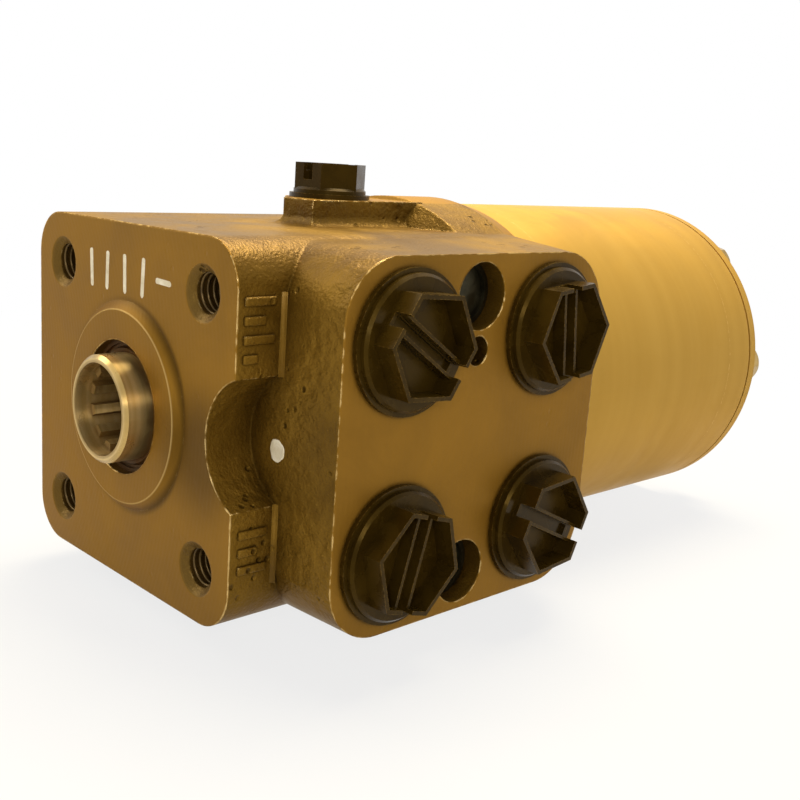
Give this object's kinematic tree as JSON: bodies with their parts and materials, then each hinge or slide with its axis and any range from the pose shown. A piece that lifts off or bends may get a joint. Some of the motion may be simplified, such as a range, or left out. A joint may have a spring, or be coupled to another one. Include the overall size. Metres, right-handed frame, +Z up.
{
  "type": "orbital steering unit",
  "caption": "Hydrostatic steering unit: cast valve housing with a square column flange, ports on one side, a splined input and a round gear set at the rear.",
  "frame": {"origin": "centre of the four column holes, on the column mounting face", "axes": "+Y along the spool axis from the column face to the end cover, +X out of the port face, +Z up out of the pilot port pad"},
  "size_m": [0.1146, 0.2111, 0.1034],
  "materials": {
    "cast_iron_oiled": "rough oiled casting with machined faces",
    "machined_iron": "turned and ground, lightly oiled",
    "ground_steel": "ground and hardened",
    "hard_steel": "hardened and polished",
    "sheet_steel": "pressed and deburred",
    "spring_steel": "blued spring strip",
    "forged_steel": "forged, splines cut",
    "zinc_steel": "zinc plated with yellow passivation",
    "aluminium_washer": "soft annealed",
    "black_rubber": "moulded nitrile",
    "dark_plastic": "moulded, glossy"
  },
  "bodies": {
    "unit_body": {"housing": "cast_iron_oiled", "cup_plugs": "zinc_steel", "dust_seal": "black_rubber", "shaft_seal": "black_rubber", "outer_race": "hard_steel", "gerotor_ring": "machined_iron", "distributor_plate": "machined_iron", "end_cover": "machined_iron", "o_ring_housing": "black_rubber", "o_ring_plate": "black_rubber", "o_ring_cover": "black_rubber", "cover_screws": "zinc_steel", "special_screw": "zinc_steel", "screw_washers": "aluminium_washer", "ball_bushing": "sheet_steel", "port_plug_p": "dark_plastic", "port_plug_t": "dark_plastic", "port_plug_l": "dark_plastic", "port_plug_r": "dark_plastic", "pilot_port_plug": "dark_plastic"},
    "sleeve_body": {"sleeve": "ground_steel", "inner_race": "hard_steel", "spring_ring": "sheet_steel", "cross_pin": "hard_steel", "centring_springs": "spring_steel"},
    "spool_body": {"spool": "ground_steel"},
    "cage_body": {"needle_cage": "sheet_steel", "thrust_needles": "hard_steel"},
    "orbit_body": {"spacer": "forged_steel"},
    "star_body": {"gerotor_star": "ground_steel"},
    "shaft_body": {"drive_shaft": "forged_steel"},
    "ball_body": {"check_ball": "hard_steel"}
  },
  "joints": [
    {"name": "sleeve_turn", "type": "hinge", "parent": "unit_body", "child": "sleeve_body", "pos_m": [0, 0, 0], "axis": [0, 1, 0], "continuous": true},
    {"name": "spool_offset", "type": "hinge", "parent": "sleeve_body", "child": "spool_body", "pos_m": [0, 0, 0], "axis": [0, 1, 0], "range_deg": [-8, 8], "stiffness_Nm_per_rad": 10, "deforming": ["centring_springs"]},
    {"name": "cage_turn", "type": "hinge", "parent": "unit_body", "child": "cage_body", "pos_m": [0, 0.014, 0], "axis": [0, 1, 0], "continuous": true},
    {"name": "star_orbit", "type": "hinge", "parent": "unit_body", "child": "orbit_body", "pos_m": [0, 0.144, 0], "axis": [0, 1, 0], "continuous": true},
    {"name": "star_spin", "type": "hinge", "parent": "orbit_body", "child": "star_body", "pos_m": [0.003, 0.144, 0], "axis": [0, 1, 0], "continuous": true},
    {"name": "drive_shaft_spin", "type": "hinge", "parent": "orbit_body", "child": "shaft_body", "pos_m": [0, 0.046, 0], "axis": [0.0246, 0.9997, 0], "continuous": true},
    {"name": "check_ball_lift", "type": "slide", "parent": "unit_body", "child": "ball_body", "axis": [0, 1, 0], "range_m": [0, 0.0012]}
  ],
  "couplings": [
    {"joint": "cage_turn", "follows": "sleeve_turn", "ratio": 0.5},
    {"joint": "star_orbit", "follows": "sleeve_turn", "ratio": -6},
    {"joint": "star_spin", "follows": "sleeve_turn", "ratio": 7},
    {"joint": "drive_shaft_spin", "follows": "sleeve_turn", "ratio": 7}
  ]
}
